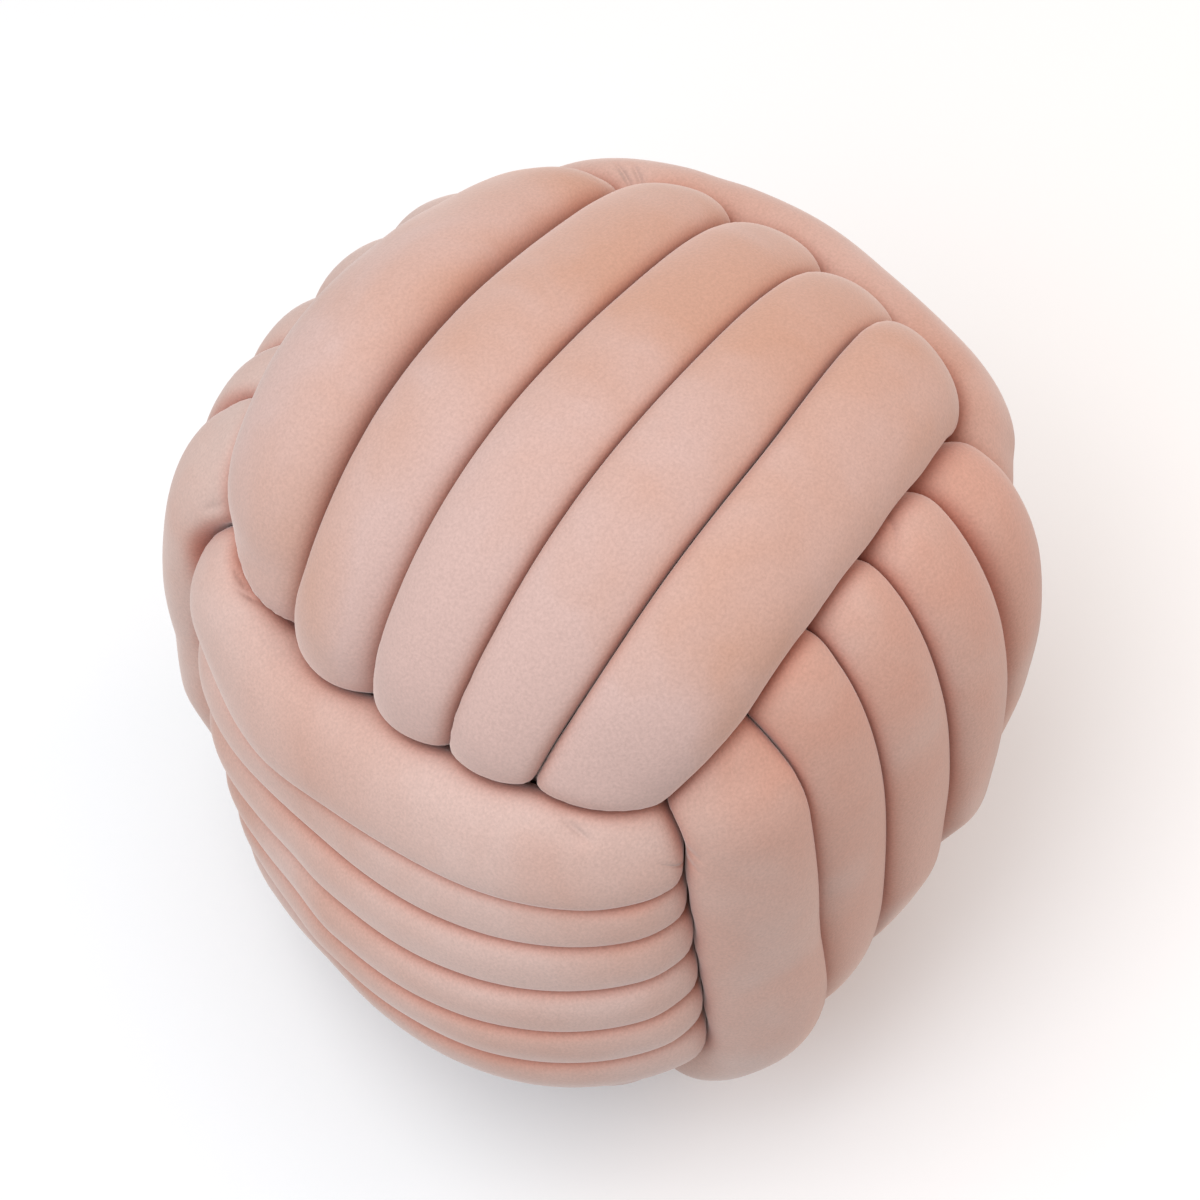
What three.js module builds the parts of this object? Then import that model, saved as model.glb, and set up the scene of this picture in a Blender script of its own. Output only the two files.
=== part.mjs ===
// A ball-shaped floor pouf knotted from fat stuffed tubes.
//
// Three sets of closed turns pass over and under each other, as in a monkey's fist knot.
// Each turn is one stuffed ring: it lies on the outside of the ball on two opposite faces,
// and dives under the next set on the two faces between them. Tubes that meet press
// each other flat, so every ring is swollen along its centreline until it nears a neighbour.
//
// Millimetres, +Z up. The pouf rests on the flattened undersides of its crown turns.
import * as THREE from 'three';

// The ball that the outer turns fill: a rounded box, slightly askew to the turns.
const BALL = {
  radii: [225, 239, 254],
  power: 2.76,
  turnX: 1.5,
  turnY: -14.6,
  turnZ: 15.6,
};
// Height of its middle over the surface that it rests on.
const BALL_HEIGHT = 246;
// The skin is looked for between these distances from the middle, by halving.
const SKIN_BETWEEN = [40, 420];
const HALVINGS = 30;

// How deep a turn's centreline lies under the ball's surface, where it shows and where it is
// hidden under the set that covers it.
const OUTER_DEPTH = 29;
const INNER_DEPTH = 68;
// Higher is a tighter bend where a turn dives from its outer to its hidden run.
const BEND_POWER = 16;
// The hidden runs are pushed together towards the middle of their face by this share,
// between these two angles from the over axis.
const INNER_SQUEEZE = 0.3;
const SQUEEZE_START = 45;
const SQUEEZE_END = 80;
// A run's end is drawn in between the first pair of angles from its over axis, set aside
// between the second, and both are lost again between the third, where the turn is hidden.
const DRAWN_BETWEEN = [-12, 32];
const ASIDE_BETWEEN = [22, 58];
const LOST_BETWEEN = [56, 82];

// Shape of a free tube's section: width and height over its girth, and roundness.
const FREE_WIDTH = 1.3;
const FREE_HEIGHT = 1.0;
const FREE_POWER = 2.3;
// Where a turn dives, its outer side still swells towards the ball's skin, up to this height.
const DIVE_HEIGHT = 1.25;
// Higher is a sharper corner where a free side runs into a pressed one.
const CORNER_POWER = 9;

// No tube is pressed thinner than this on any side.
const LEAST_ROOM = 4;
// A side on the inside of a bend reaches at most this share of the way to the bend's middle.
const BEND_ROOM = 0.9;
// A tube further off than this many girths leaves a side free.
const FAR_OFF = 3;
const ROOM_ROUNDS = 4;

const SECTION_SIDES = 8;
const SECTIONS = 39;
// How much closer sections stand in a bend, as a length added per radian turned.
const BEND_CROWDING = 60;

// Settling: crossing turns that come too close push each other away. A shown run keeps its
// place up to the first angle from its over axis and is free to give way past the second.
const NODES = 72;
const GUIDE_STEPS = 216;
const SETTLE_ROUNDS = 160;
const HELD_UNTIL = 50;
const FREE_FROM = 62;
const HELD_EASE = 0.06;
// How close two centrelines may come, over the sum of their girths: crossing, and in one set.
const CROSSING_CLOSENESS = 0.9;
const STACKED_CLOSENESS = 0.64;
// How readily a turn gives way to one whose ends its set covers, against one way round.
const COVERING_EASE = 0.25;
// Share of a node's shift that it passes to the nodes beside it in each round, and the share
// that a fully held node gives back.
const SHIFT_SPREAD = 0.4;
const HELD_RETURN = 0.06;
// A centreline stays at least this many girths under the ball's skin.
const LEAST_DEPTH = 0.85;

// Each set: the axis its turns are stacked along, the axis whose two ends it covers, the axis
// at whose ends it runs hidden, and the set whose ends it covers. A row of turns gives each
// one's place on the across axis, its girth, which is the radius of the free tube, and the gap
// that it leaves on its own side of a border with a turn of its set. crossingGap is the same
// where it borders on a turn of another set. lean tilts the shown run on the minus over side;
// tilt tilts the one on the plus over side, rise shifts it along the across axis, and proud
// lets it stand out. ends names a run's ends by the signs of the over and under sides that they
// lie at: how far each is drawn in, and how far it is set aside.
const SETS = {
  crown: {
    across: 'y',
    over: 'z',
    under: 'x',
    covers: 'flank',
    colour: 0xe3c5b8,
    crossingGap: 3.8,
    turns: [
      { place: 129, girth: 34, gap: 1.05,
        ends: { '+-': [-6, 22] } },
      { place: 53, girth: 31, gap: 1.25 },
      { place: -9, girth: 31, gap: 0.4 },
      { place: -64, girth: 31, gap: 1.4 },
      { place: -121, girth: 32, gap: 2.2,
        ends: { '++': [-6, -6], '+-': [-4, 0] } },
    ],
  },
  waist: {
    across: 'z',
    over: 'x',
    under: 'y',
    covers: 'crown',
    colour: 0xdbb5a8,
    crossingGap: 2.8,
    turns: [
      { place: 92, girth: 31, gap: 4.6, lean: -0.22, rise: 38, tilt: 0.02, proud: 10,
        ends: { '-+': [-6, 65], '++': [10, -30], '+-': [8, 0] } },
      { place: 52, girth: 25, gap: 1, lean: -0.25, rise: 22, tilt: 0.05,
        ends: { '-+': [6, 10] } },
      { place: 11, girth: 25, gap: 1.86, lean: -0.27, rise: 16,
        ends: { '-+': [12, 6] } },
      { place: -30, girth: 25, gap: 1.74, lean: -0.28, rise: 10,
        ends: { '-+': [14, 4] } },
      { place: -60, girth: 26, gap: 0.96, lean: -0.28,
        ends: { '-+': [13, 0] } },
      { place: -98, girth: 28, gap: 4.14, lean: -0.28,
        ends: { '-+': [8, 0] } },
    ],
  },
  flank: {
    across: 'x',
    over: 'y',
    under: 'z',
    covers: 'waist',
    colour: 0xd7a497,
    crossingGap: 3.2,
    turns: [
      { place: -127, girth: 32, gap: 2.7, rise: 14, tilt: 0.1,
        ends: { '++': [-3, 0], '+-': [40, 16], '--': [-8, -20] } },
      { place: -68, girth: 28, gap: 2.8, rise: 4,
        ends: { '++': [18, 0], '+-': [24, 0], '--': [0, -10] } },
      { place: -17, girth: 27, gap: 1.1, rise: 3,
        ends: { '++': [20, 6], '--': [14, -8] } },
      { place: 37, girth: 28, gap: 0.6, rise: 10,
        ends: { '++': [12, 12], '--': [22, -10] } },
      { place: 97, girth: 31, gap: 1.3, rise: 18,
        ends: { '++': [-6, 18], '--': [10, -10], '-+': [14, -6] } },
    ],
  },
};
const VELVET_ROUGHNESS = 0.9;

const degrees = THREE.MathUtils.degToRad;
const boxTurn = new THREE.Matrix4()
  .makeRotationZ(degrees(BALL.turnZ))
  .multiply(new THREE.Matrix4().makeRotationY(degrees(BALL.turnY)))
  .multiply(new THREE.Matrix4().makeRotationX(degrees(BALL.turnX)));

// 1 on the ball's surface, less inside and more outside; grows in proportion along a ray.
function ballMeasure(point) {
  const p = point.clone().applyMatrix4(boxTurn);
  const [a, b, c] = BALL.radii;
  const n = BALL.power;
  const sum = Math.abs(p.x / a) ** n + Math.abs(p.y / b) ** n + Math.abs(p.z / c) ** n;
  return sum ** (1 / n);
}

// How far a point lies under the ball's skin, measured towards the middle.
function skinDepth(point) {
  const measure = ballMeasure(point);
  return (point.length() * (1 - measure)) / measure;
}

function ballNormal(point) {
  const step = 0.5;
  const normal = new THREE.Vector3();
  for (const axis of ['x', 'y', 'z']) {
    const ahead = point.clone();
    const behind = point.clone();
    ahead[axis] += step;
    behind[axis] -= step;
    normal[axis] = ballMeasure(ahead) - ballMeasure(behind);
  }
  return normal.normalize();
}

// A smooth climb from 0 to 1 as x goes from start to end.
function easeBetween(x, start, end) {
  const t = THREE.MathUtils.clamp((x - start) / (end - start), 0, 1);
  return (1 - Math.cos(Math.PI * t)) / 2;
}

// How far a turn is drawn in and set aside at an angle, by the ends in its row.
function endsAt(turn, overPart, underPart, fromOver) {
  let inward = 0;
  let aside = 0;
  for (const [sides, [drawn, moved]] of Object.entries(turn.ends ?? {})) {
    const [overSide, underSide] = [...sides].map((sign) => (sign === '+' ? 1 : -1));
    if (overPart * overSide > 0) {
      const towards = fromOver * Math.sign(underPart) * underSide;
      const kept = 1 - easeBetween(fromOver, ...LOST_BETWEEN);
      inward += drawn * kept * easeBetween(towards, ...DRAWN_BETWEEN);
      aside += moved * kept * easeBetween(towards, ...ASIDE_BETWEEN);
    }
  }
  return { inward, aside };
}

// One point of a turn's centreline, at an angle from its over axis towards its under axis.
function centrePoint(set, turn, angle) {
  const overPart = Math.cos(angle);
  const underPart = Math.sin(angle);
  const fromOver = THREE.MathUtils.radToDeg(Math.acos(Math.abs(overPart)));
  const hidden = easeBetween(fromOver, SQUEEZE_START, SQUEEZE_END);
  const { lean = 0, tilt = 0, rise = 0, proud = 0 } = turn;
  const slope = (overPart < 0 ? lean : tilt) * (1 - hidden);
  const lift = overPart < 0 ? 0 : rise * (1 - hidden);
  const out = overPart < 0 ? 0 : proud * (1 - hidden);
  const { inward, aside } = endsAt(turn, overPart, underPart, fromOver);
  const place = turn.place * (1 - INNER_SQUEEZE * hidden) + lift + aside;
  const at = (radius, over, under) => {
    const point = new THREE.Vector3();
    point[set.over] = radius * over;
    point[set.under] = radius * under;
    point[set.across] = place + slope * radius * under;
    return point;
  };
  // The radius at which a direction reaches a depth under the ball's surface.
  const radiusAt = (over, under, depth) => {
    let [inside, outside] = SKIN_BETWEEN;
    for (let i = 0; i < HALVINGS; i += 1) {
      const middle = (inside + outside) / 2;
      if (ballMeasure(at(middle, over, under)) > 1) outside = middle;
      else inside = middle;
    }
    const normal = ballNormal(at(inside, over, under));
    return inside - depth / (normal[set.over] * over + normal[set.under] * under);
  };
  const shell = radiusAt(overPart, underPart, OUTER_DEPTH);
  const wall = radiusAt(0, Math.sign(underPart) || 1, INNER_DEPTH) / Math.abs(underPart);
  const radius = (shell ** -BEND_POWER + wall ** -BEND_POWER) ** (-1 / BEND_POWER);
  return at(radius + out - inward, overPart, underPart);
}

// The rings before they settle: nodes round each centreline, how free each node is to give
// way, and how deep under the ball's skin it has to stay.
function makeRings() {
  const rings = [];
  for (const [setName, set] of Object.entries(SETS)) {
    set.turns.forEach((turn, index) => {
      const nodes = [];
      for (let i = 0; i < NODES; i += 1) {
        const angle = (2 * Math.PI * i) / NODES;
        const home = centrePoint(set, turn, angle);
        const fromOver = THREE.MathUtils.radToDeg(Math.acos(Math.abs(Math.cos(angle))));
        const freedom = HELD_EASE + (1 - HELD_EASE) * easeBetween(fromOver, HELD_UNTIL, FREE_FROM);
        const leastDepth = Math.min(LEAST_DEPTH * turn.girth, skinDepth(home));
        nodes.push({ home, shift: new THREE.Vector3(), freedom, leastDepth });
      }
      rings.push({ name: `${setName}_turn_${index + 1}`, setName, set, turn, nodes });
    });
  }
  return rings;
}

// Pushes two nodes apart when they are nearer than they may be; the freer one gives way more.
function pushApart(one, two, least, oneEase, twoEase) {
  const away = one.home.clone().add(one.shift).sub(two.home).sub(two.shift);
  const distance = away.length();
  if (distance >= least || distance === 0) return;
  const oneFreedom = one.freedom * oneEase;
  const twoFreedom = two.freedom * twoEase;
  away.multiplyScalar((0.5 * (least - distance)) / distance / (oneFreedom + twoFreedom));
  one.shift.addScaledVector(away, oneFreedom);
  two.shift.addScaledVector(away, -twoFreedom);
}

// Keeps a node's tube under the ball's skin.
function holdInside(node) {
  const point = node.home.clone().add(node.shift);
  const short = node.leastDepth - skinDepth(point);
  if (short > 0) node.shift.addScaledVector(point.normalize(), -short);
}

function settle(rings) {
  for (let round = 0; round < SETTLE_ROUNDS; round += 1) {
    rings.forEach((ring, index) => {
      for (const other of rings.slice(index + 1)) {
        const closeness = other.set === ring.set ? STACKED_CLOSENESS : CROSSING_CLOSENESS;
        const least = closeness * (ring.turn.girth + other.turn.girth);
        const ringEase = ring.set.covers === other.setName ? COVERING_EASE : 1;
        const otherEase = other.set.covers === ring.setName ? COVERING_EASE : 1;
        for (const one of ring.nodes) {
          for (const two of other.nodes) pushApart(one, two, least, ringEase, otherEase);
        }
      }
    });
    for (const ring of rings) {
      const shifts = ring.nodes.map((node) => node.shift.clone());
      ring.nodes.forEach((node, i) => {
        const before = shifts[(i - 1 + NODES) % NODES];
        const after = shifts[(i + 1) % NODES];
        node.shift.multiplyScalar(1 - SHIFT_SPREAD);
        node.shift.addScaledVector(before, SHIFT_SPREAD / 2).addScaledVector(after, SHIFT_SPREAD / 2);
        node.shift.multiplyScalar(1 - HELD_RETURN * (1 - node.freedom));
        holdInside(node);
      });
    }
  }
  for (const ring of rings) {
    const points = ring.nodes.map((node) => node.home.clone().add(node.shift));
    ring.curve = new THREE.CatmullRomCurve3(points, true, 'catmullrom', 0.5);
    ring.guide = ring.curve.getPoints(GUIDE_STEPS).slice(0, GUIDE_STEPS);
  }
}

// The nearest point of a closed guide line to a point.
function nearestOn(guide, point) {
  let best = 0;
  let bestSquare = Infinity;
  for (let i = 0; i < guide.length; i += 1) {
    const square = guide[i].distanceToSquared(point);
    if (square < bestSquare) {
      bestSquare = square;
      best = i;
    }
  }
  const result = guide[best].clone();
  for (const step of [-1, 1]) {
    const end = guide[(best + step + guide.length) % guide.length];
    const span = end.clone().sub(guide[best]);
    const along = point.clone().sub(guide[best]).dot(span) / span.lengthSq();
    const candidate = guide[best].clone().addScaledVector(span, THREE.MathUtils.clamp(along, 0, 1));
    if (candidate.distanceToSquared(point) < result.distanceToSquared(point)) result.copy(candidate);
  }
  return result;
}

// How far a ray from a centreline point may go before it nears another tube. The border
// between two tubes is nearer the thinner one.
function roomTowards(ray, other, centre, girth) {
  let reach = girth;
  for (let i = 0; i < ROOM_ROUNDS; i += 1) {
    const near = nearestOn(other.guide, centre.clone().addScaledVector(ray, reach));
    const between = near.sub(centre);
    const closing = between.dot(ray);
    if (closing <= 0) return Infinity;
    const distance = between.length();
    const border = (distance ** 2 + girth ** 2 - other.girth ** 2) / (2 * distance);
    reach = (Math.max(border - other.halfGap, LEAST_ROOM) * distance) / closing;
    if (reach > FAR_OFF * girth) return Infinity;
  }
  return reach;
}

// Where along a centreline its sections stand, from 0 to 1: evenly, and closer in bends.
function sectionPlaces(guide) {
  const count = guide.length;
  const reached = [0];
  for (let i = 0; i < count; i += 1) {
    const before = guide[(i - 1 + count) % count];
    const here = guide[i];
    const after = guide[(i + 1) % count];
    const step = after.clone().sub(here);
    const turned = here.clone().sub(before).angleTo(step);
    reached.push(reached[i] + step.length() + BEND_CROWDING * turned);
  }
  const places = [];
  let i = 0;
  for (let section = 0; section < SECTIONS; section += 1) {
    const wanted = (reached[count] * section) / SECTIONS;
    while (reached[i + 1] < wanted) i += 1;
    places.push((i + (wanted - reached[i]) / (reached[i + 1] - reached[i])) / count);
  }
  return places;
}

// One stuffed ring: sections round its centreline, each side pushed out until it is full.
function ringGeometry(ring, others) {
  const { turn, curve } = ring;
  const places = sectionPlaces(ring.guide);
  const positions = [];
  const stride = 0.5 / NODES;
  for (const place of places) {
    const centre = curve.getPoint(place);
    const ahead = curve.getPoint((place + stride) % 1);
    const behind = curve.getPoint((place - stride + 1) % 1);
    const tangent = ahead.clone().sub(behind);
    const bend = ahead.clone().add(behind).addScaledVector(centre, -2);
    bend.multiplyScalar(4 / tangent.lengthSq());
    tangent.normalize();
    const outward = centre.clone().addScaledVector(tangent, -centre.dot(tangent)).normalize();
    const side = outward.clone().cross(tangent).normalize();
    const highest = DIVE_HEIGHT * turn.girth;
    const outerHeight = THREE.MathUtils.clamp(skinDepth(centre), FREE_HEIGHT * turn.girth, highest);
    for (let j = 0; j < SECTION_SIDES; j += 1) {
      const turnBy = (2 * Math.PI * j) / SECTION_SIDES;
      const ray = side.clone().multiplyScalar(Math.cos(turnBy));
      ray.addScaledVector(outward, Math.sin(turnBy));
      const wide = Math.abs(Math.cos(turnBy)) / (FREE_WIDTH * turn.girth);
      const height = Math.sin(turnBy) > 0 ? outerHeight : FREE_HEIGHT * turn.girth;
      const high = Math.abs(Math.sin(turnBy)) / height;
      const limits = [(wide ** FREE_POWER + high ** FREE_POWER) ** (-1 / FREE_POWER)];
      for (const other of others) limits.push(roomTowards(ray, other, centre, turn.girth));
      const bending = bend.dot(ray);
      if (bending > 0) limits.push(BEND_ROOM / bending);
      const packed = limits.reduce((sum, limit) => sum + limit ** -CORNER_POWER, 0);
      let reach = packed ** (-1 / CORNER_POWER);
      const drop = BALL_HEIGHT + centre.z;
      if (ray.z < 0) reach = Math.min(reach, drop / -ray.z);
      const point = centre.addScaledVector(ray, reach);
      positions.push(point.x, point.y, point.z);
      centre.addScaledVector(ray, -reach);
    }
  }
  const indices = [];
  for (let i = 0; i < SECTIONS; i += 1) {
    const next = (i + 1) % SECTIONS;
    for (let j = 0; j < SECTION_SIDES; j += 1) {
      const side = (j + 1) % SECTION_SIDES;
      const a = i * SECTION_SIDES + j;
      const b = next * SECTION_SIDES + j;
      const c = next * SECTION_SIDES + side;
      const d = i * SECTION_SIDES + side;
      indices.push(a, c, b, a, d, c);
    }
  }
  const geometry = new THREE.BufferGeometry();
  geometry.setAttribute('position', new THREE.Float32BufferAttribute(positions, 3));
  geometry.setIndex(indices);
  geometry.computeVertexNormals();
  return geometry;
}

const rings = makeRings();
settle(rings);

const pouf = new THREE.Group();
pouf.name = 'braided_pouf';
for (const ring of rings) {
  const others = rings
    .filter((other) => other !== ring)
    .map((other) => ({
      guide: other.guide,
      girth: other.turn.girth,
      halfGap: other.set === ring.set ? ring.turn.gap : ring.set.crossingGap,
    }));
  const velvet = new THREE.MeshStandardMaterial({
    color: ring.set.colour,
    roughness: VELVET_ROUGHNESS,
    metalness: 0,
  });
  const mesh = new THREE.Mesh(ringGeometry(ring, others), velvet);
  mesh.name = ring.name;
  mesh.position.z = BALL_HEIGHT;
  pouf.add(mesh);
}

// The origin lies under the middle of the whole pouf, on the surface that it rests on.
const middle = new THREE.Box3().setFromObject(pouf).getCenter(new THREE.Vector3());
for (const mesh of pouf.children) {
  mesh.position.x -= middle.x;
  mesh.position.y -= middle.y;
}

export default pouf;
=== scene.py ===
"""A ball-shaped floor pouf, knotted from fat stuffed velvet tubes.

Three sets of closed turns pass over and under each other as in a monkey's fist knot. Each
turn's surface is worked out here at full detail: a centreline that lies on the ball where it
shows and dives where it is covered, and a skin swollen out from it until it meets its
neighbours. Gathers and dimples are sunk into the skins, and skins that still cross are cleared
of each other. Then come the finish, the room and the light.
"""
import itertools
import math

import bpy
import numpy as np
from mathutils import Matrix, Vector
from mathutils.bvhtree import BVHTree


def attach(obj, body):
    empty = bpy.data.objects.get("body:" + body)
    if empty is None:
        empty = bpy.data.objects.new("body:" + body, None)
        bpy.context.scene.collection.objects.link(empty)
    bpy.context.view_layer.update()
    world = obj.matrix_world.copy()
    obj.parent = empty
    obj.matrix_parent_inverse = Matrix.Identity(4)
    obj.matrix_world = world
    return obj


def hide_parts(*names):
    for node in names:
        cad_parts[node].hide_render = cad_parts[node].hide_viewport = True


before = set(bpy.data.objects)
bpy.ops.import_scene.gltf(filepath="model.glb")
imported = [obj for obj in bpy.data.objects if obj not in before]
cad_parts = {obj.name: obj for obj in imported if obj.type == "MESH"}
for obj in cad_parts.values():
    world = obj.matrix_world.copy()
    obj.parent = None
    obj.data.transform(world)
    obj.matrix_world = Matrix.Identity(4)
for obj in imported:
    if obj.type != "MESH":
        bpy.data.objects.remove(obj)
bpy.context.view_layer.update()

# ---------------------------------------------------------------- sizes, in metres and degrees

# The rounded box that the ball fills, slightly askew to the turns, and its middle's height.
BALL_RADII = np.array([0.225, 0.239, 0.254])
BALL_POWER = 2.76
BALL_TURNS = {"x": 1.5, "y": -14.6, "z": 15.6}
BALL_HEIGHT = 0.246
# How far to either side of a point the ball is felt for its slope.
SLOPE_STEP = 0.0005

# A turn's centreline lies this deep under the skin: where it shows, and where it is covered.
OUTER_DEPTH = 0.029
INNER_DEPTH = 0.068
# How sharply it bends from the one to the other.
BEND_POWER = 16
# The skin is searched for between these distances from the middle, in so many halvings.
SKIN_BETWEEN = (0.04, 0.42)
SKIN_HALVINGS = 30
# Turns of a set lie closer together by this share where they are hidden. The change comes
# between these angles from the over side.
INNER_SQUEEZE = 0.3
SQUEEZE_BETWEEN = (45, 80)
# The angles between which an end is drawn in and set aside, and those where that is lost again.
DRAWN_BETWEEN = (-12, 32)
ASIDE_BETWEEN = (22, 58)
END_LOST = (56, 82)
SIDE = {"+": 1, "-": -1}

# A free tube's half width and half height over its girth, how square it is, and its greatest
# half height over its girth where it dives.
FREE_WIDTH = 1.3
FREE_HEIGHT = 1.0
FREE_POWER = 2.3
DIVE_HEIGHT = 1.42
# How sharp the corners are where a pressed part meets a free one, the least distance from its
# centreline that neighbours leave a skin, the share of a bend's inner radius that it fills, and
# half the gap to a turn of its own set or of another.
CORNER_POWER = 20
LEAST_ROOM = 0.004
BEND_ROOM = 0.9
HALF_GAP = 0.0003
HALF_GAP_CROSSING = 0.0008

# Settling of the turns where sets cross: the nodes of a centreline, the points of the finer
# guide that skins are measured from, and the rounds of settling.
NODES = 72
GUIDE_STEPS = 216
SETTLE_ROUNDS = 160
# A turn is held where it shows, up to the first angle from the over side, and gives way freely
# from the second one on. Where it is held it still gives way by the share below.
FREED_BETWEEN = (50, 62)
HELD_EASE = 0.06
# How near centrelines may come, over their girths together: of crossing sets, and of one set;
# and the share of what is missing that one round puts right.
CROSSING_CLOSENESS = 0.9
STACKED_CLOSENESS = 0.64
PUSH_SHARE = 0.5
# The share by which a covering turn gives way, how far a shift spreads to the nodes beside it,
# how fast a held part goes back, and the least depth under the skin over a turn's girth.
COVERING_EASE = 0.25
SHIFT_SPREAD = 0.4
HELD_RETURN = 0.06
LEAST_DEPTH = 0.85

# Mesh detail: stations along a turn and points round it, the coarser steps at which the room
# towards the neighbours is measured, and how much closer stations stand where a turn bends.
STATIONS = 330
ROUND = 72
ROOM_STATIONS = 110
ROOM_ROUND = 36
BEND_CROWDING = 0.06
# How far before and after a station its direction and bend are measured, in nodes.
FRAME_STRIDE = 1.2

# Room is measured for this many stations at a time, in this many looks along each ray. A
# neighbour counts where its guide comes within this many girths of a station besides its own
# girth, and within this distance of the stations' middle. A ray is free past this many girths,
# and also where it closes in on its neighbour by less than the last value.
ROOM_BLOCK = 12
ROOM_LOOKS = 4
NEIGHBOUR_GIRTHS = 3.2
NEIGHBOUR_REACH = 0.19
FREE_GIRTHS = 3
LEAST_CLOSING = 1e-5
# A value that keeps a division from failing.
TINY = 1e-6

# Blurs of a skin's grid: how many for its reach and how strong they are round it, how many for
# what shows as pressed, how many for where the stuffing stays even, and how soon it does.
REACH_BLURS = 2
ROUND_BLUR = 0.6
PRESSED_BLURS = 2
EVEN_BLURS = 6
EVEN_SHARE = 3

AXIS = {"x": 0, "y": 1, "z": 2}

# Each set: the axis along which its turns are stacked, the axis at whose ends it shows, and the
# axis at whose ends it is hidden. A turn's row: its place on the across axis and its girth; how
# much it leans on the minus over side; its tilt, its rise and how proud it stands on the plus
# over side. Its ends are named by the over and under sides that they lie at: how far each is
# drawn in, and how far it is set aside.
SETS = {
    "crown": {
        "across": "y", "over": "z", "under": "x", "slot": "velvet_crown",
        "turns": [
            {"place": 0.129, "girth": 0.034,
             "ends": {"+-": (-0.006, 0.022)}},
            {"place": 0.053, "girth": 0.031, "ends": {"+-": (0.008, 0.000)}},
            {"place": -0.009, "girth": 0.031, "ends": {"+-": (0.008, 0.000)}},
            {"place": -0.064, "girth": 0.031, "ends": {"+-": (0.006, 0.000)}},
            {"place": -0.121, "girth": 0.032,
             "ends": {"++": (-0.006, -0.006), "+-": (-0.004, 0.000)}},
        ],
    },
    "waist": {
        "across": "z", "over": "x", "under": "y", "slot": "velvet_waist",
        "turns": [
            {"place": 0.096, "girth": 0.031, "lean": -0.22, "rise": 0.042, "tilt": 0.02,
             "proud": 0.015,
             "ends": {"-+": (-0.006, 0.065), "++": (0.018, -0.030), "+-": (0.008, 0.000)}},
            {"place": 0.052, "girth": 0.025, "lean": -0.25, "rise": 0.022, "tilt": 0.05,
             "ends": {"-+": (0.006, 0.020)}},
            {"place": 0.011, "girth": 0.025, "lean": -0.27, "rise": 0.016,
             "ends": {"-+": (0.012, 0.009)}},
            {"place": -0.030, "girth": 0.025, "lean": -0.28, "rise": 0.010,
             "ends": {"-+": (0.014, 0.004)}},
            {"place": -0.060, "girth": 0.026, "lean": -0.28,
             "ends": {"-+": (0.013, 0.000)}},
            {"place": -0.098, "girth": 0.028, "lean": -0.28,
             "ends": {"-+": (0.008, 0.000)}},
        ],
    },
    "flank": {
        "across": "x", "over": "y", "under": "z", "slot": "velvet_flank",
        "turns": [
            {"place": -0.127, "girth": 0.032, "rise": 0.014, "tilt": 0.10,
             "ends": {"++": (-0.003, 0.000), "+-": (0.040, 0.016), "--": (-0.014, -0.020)}},
            {"place": -0.068, "girth": 0.028, "rise": 0.004,
             "ends": {"++": (0.018, 0.000), "+-": (0.024, 0.000), "--": (0.006, -0.010)}},
            {"place": -0.017, "girth": 0.027, "rise": 0.003,
             "ends": {"++": (0.020, 0.006), "--": (0.020, -0.008)}},
            {"place": 0.037, "girth": 0.028, "rise": 0.010,
             "ends": {"++": (0.012, 0.012), "--": (0.029, -0.010)}},
            {"place": 0.097, "girth": 0.031, "rise": 0.018,
             "ends": {"++": (-0.006, 0.018), "--": (0.005, -0.012), "-+": (0.014, -0.006)}},
        ],
    },
}

# Folds in the velvet: where each lies, the way it runs, its half length, its width, and its
# depth over the height of a fold of depth 1.
FOLDS = {
    "waist": [
        ((-0.1515, 0.130, 0.381), (-0.26, -0.93, -0.28), 0.016, 0.0018, 0.5),
        ((-0.1575, 0.122, 0.3795), (0.03, -0.99, -0.15), 0.013, 0.0018, 0.45),
        ((-0.185, -0.111, 0.394), (-0.06, -0.93, -0.31), 0.013, 0.0030, 0.6),
        ((-0.160, -0.150, 0.367), (0.70, -0.15, -0.60), 0.016, 0.0013, 0.4),
        ((0.1835, 0.0995, 0.4205), (-0.57, -0.82, 0.09), 0.019, 0.0022, 0.8),
        ((0.187, 0.0927, 0.4213), (-0.67, -0.74, 0.10), 0.018, 0.0022, 0.65),
    ],
    "flank": [
        ((-0.1553, -0.1615, 0.376), (-0.04, -0.88, -0.47), 0.010, 0.0026, 0.36),
        ((-0.1562, -0.162, 0.366), (-0.05, -0.80, -0.60), 0.011, 0.0024, 0.30),
        ((0.029, -0.166, 0.446), (-0.80, -0.58, -0.15), 0.020, 0.0022, 0.35),
        ((-0.129, 0.169, 0.3945), (0.26, -0.66, 0.71), 0.014, 0.0028, 0.4),
    ],
    "crown": [],
}

# The gap at which two skins are clear of each other, how far round a crossing the skins are
# looked at, and how many times.
CLEARANCE = 0.0003
CLEAR_REACH = 0.010
CLEAR_ROUNDS = 3

# Which set's ends each set covers.
COVERS = {"crown": "flank", "waist": "crown", "flank": "waist"}

# Heights of the pile and of a fold of depth 1, and how far in and out a fold's mark reaches.
PILE_HEIGHT = 0.0002
FOLD_HEIGHT = 0.003
FOLD_REACH = 0.03
# The dip that a fold lies in: its width over the fold's own, and its depth at a fold of depth 1.
DIP_SPREAD = 3.0
DIP_DEPTH = 0.0024
# How soon the deep tone, a painted crease shade, comes in where a turn is pressed.
CREASE_SHADE_POWER = {"crown": 1.2, "waist": 0.85, "flank": 1.2}

# The stuffing's unevenness: its share of a turn's girth, and how many swells there are along a
# turn and round it in each of the waves that add up to it.
UNEVEN = 0.022
SWELLS = ((3, 1), (7, 2), (11, 1), (17, 3), (23, 2))
chance = np.random.default_rng(seed=5)
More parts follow.
